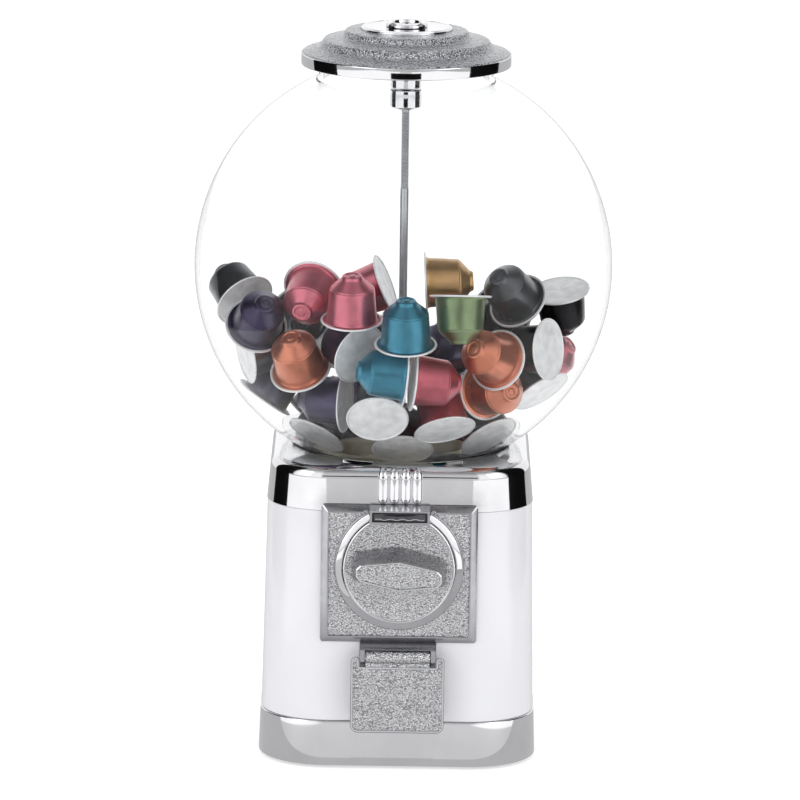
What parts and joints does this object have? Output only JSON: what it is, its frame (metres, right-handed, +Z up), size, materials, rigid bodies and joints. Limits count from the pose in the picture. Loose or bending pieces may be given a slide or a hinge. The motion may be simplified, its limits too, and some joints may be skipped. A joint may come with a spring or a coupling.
{
  "type": "gumball machine",
  "caption": "Table-top gumball machine with a clear globe of capsules, a coin knob that turns the product wheel, a chute flap and a lid with a lock on a centre rod.",
  "frame": {"origin": "centre of the machine's footprint, on the surface it stands on", "axes": "+Z up, -Y is the front with the coin knob and the flap"},
  "size_m": [0.252, 0.252, 0.4403],
  "materials": {
    "chrome": "polished chrome plating",
    "grained_chrome": "chrome plating over a grained casting",
    "white_paint": "gloss white powder coat",
    "clear_globe": "clear moulded globe",
    "steel": "zinc plated steel",
    "black_rubber": "black rubber",
    "brass": "plain brass",
    "ivory_plastic": "moulded ivory plastic",
    "white_plastic": "moulded white acetal",
    "grey_plastic": "moulded grey plastic",
    "black_plastic": "moulded black acetal",
    "nylon_bristle": "black nylon bristles",
    "bronze_bushing": "sintered bronze",
    "capsule_pink": "anodised aluminium foil capsule",
    "capsule_blue": "anodised aluminium foil capsule",
    "capsule_purple": "anodised aluminium foil capsule",
    "capsule_grey": "anodised aluminium foil capsule",
    "capsule_orange": "anodised aluminium foil capsule",
    "capsule_green": "anodised aluminium foil capsule",
    "capsule_black": "anodised aluminium foil capsule",
    "capsule_red": "anodised aluminium foil capsule",
    "capsule_gold": "anodised aluminium foil capsule"
  },
  "bodies": {
    "cabinet": {"base_ring": "chrome", "base_plate": "steel", "rubber_feet": "black_rubber", "base_screws": "steel", "body_shell": "white_paint", "top_collar": "chrome", "globe": "clear_globe", "globe_neck": "clear_globe", "globe_dome": "clear_globe", "globe_crown": "clear_globe", "globe_mouth": "clear_globe", "globe_gasket": "black_rubber", "hopper_ring": "black_plastic", "floor_plate": "steel", "floor_screws": "steel", "outlet_cover": "black_plastic", "outlet_brush": "nylon_bristle", "chute": "grey_plastic", "chute_housing": "chrome", "flap_pin": "steel", "coin_plate": "grained_chrome", "coin_ring": "chrome", "slot_block": "chrome", "pawl_pin": "steel", "pawl_spring": "steel", "mech_housing": "steel", "mech_screws": "steel", "centre_rod": "steel", "rod_nut": "steel", "rod_washer": "steel", "barrel_nut": "chrome", "capsules_pink": "capsule_pink", "capsules_blue": "capsule_blue", "capsules_purple": "capsule_purple", "capsules_grey": "capsule_grey", "capsules_orange": "capsule_orange", "capsules_green": "capsule_green", "capsules_black": "capsule_black", "capsules_red": "capsule_red", "capsules_gold": "capsule_gold"},
    "knob": {"knob": "grained_chrome", "knob_shaft": "steel", "coin_carrier": "brass", "ratchet_wheel": "steel", "drive_gear": "white_plastic", "gear_pin": "steel", "shaft_nut": "steel"},
    "product_wheel": {"product_wheel": "ivory_plastic", "wheel_bushing": "bronze_bushing"},
    "flap": {"chute_flap": "grained_chrome"},
    "lid": {"lid": "grained_chrome", "lid_disc": "chrome", "lock_body": "chrome"},
    "lock": {"lock_cylinder": "steel", "lock_cam": "steel"},
    "pawl": {"pawl": "brass"}
  },
  "joints": [
    {"name": "knob_turn", "type": "hinge", "parent": "cabinet", "child": "knob", "pos_m": [0, -0.085, 0.125], "axis": [0, 1, 0], "continuous": true},
    {"name": "wheel_turn", "type": "hinge", "parent": "cabinet", "child": "product_wheel", "pos_m": [0, 0, 0.15], "axis": [0, 0, 1], "continuous": true},
    {"name": "flap_swing", "type": "hinge", "parent": "cabinet", "child": "flap", "pos_m": [0, -0.0885, 0.0703], "axis": [-1, 0, 0], "range_deg": [0, 80]},
    {"name": "lid_lift", "type": "slide", "parent": "cabinet", "child": "lid", "axis": [0, 0, 1], "range_m": [0, 0.08]},
    {"name": "lock_turn", "type": "hinge", "parent": "lid", "child": "lock", "pos_m": [0, 0, 0.43], "axis": [0, 0, 1], "range_deg": [0, 90]},
    {"name": "pawl_swing", "type": "hinge", "parent": "cabinet", "child": "pawl", "pos_m": [0.027, -0.076, 0.097], "axis": [0, -1, 0], "range_deg": [0, 10], "stiffness_Nm_per_rad": 0.02, "springref_deg": -17.19}
  ],
  "couplings": [
    {"joint": "wheel_turn", "follows": "knob_turn", "ratio": 0.25}
  ]
}
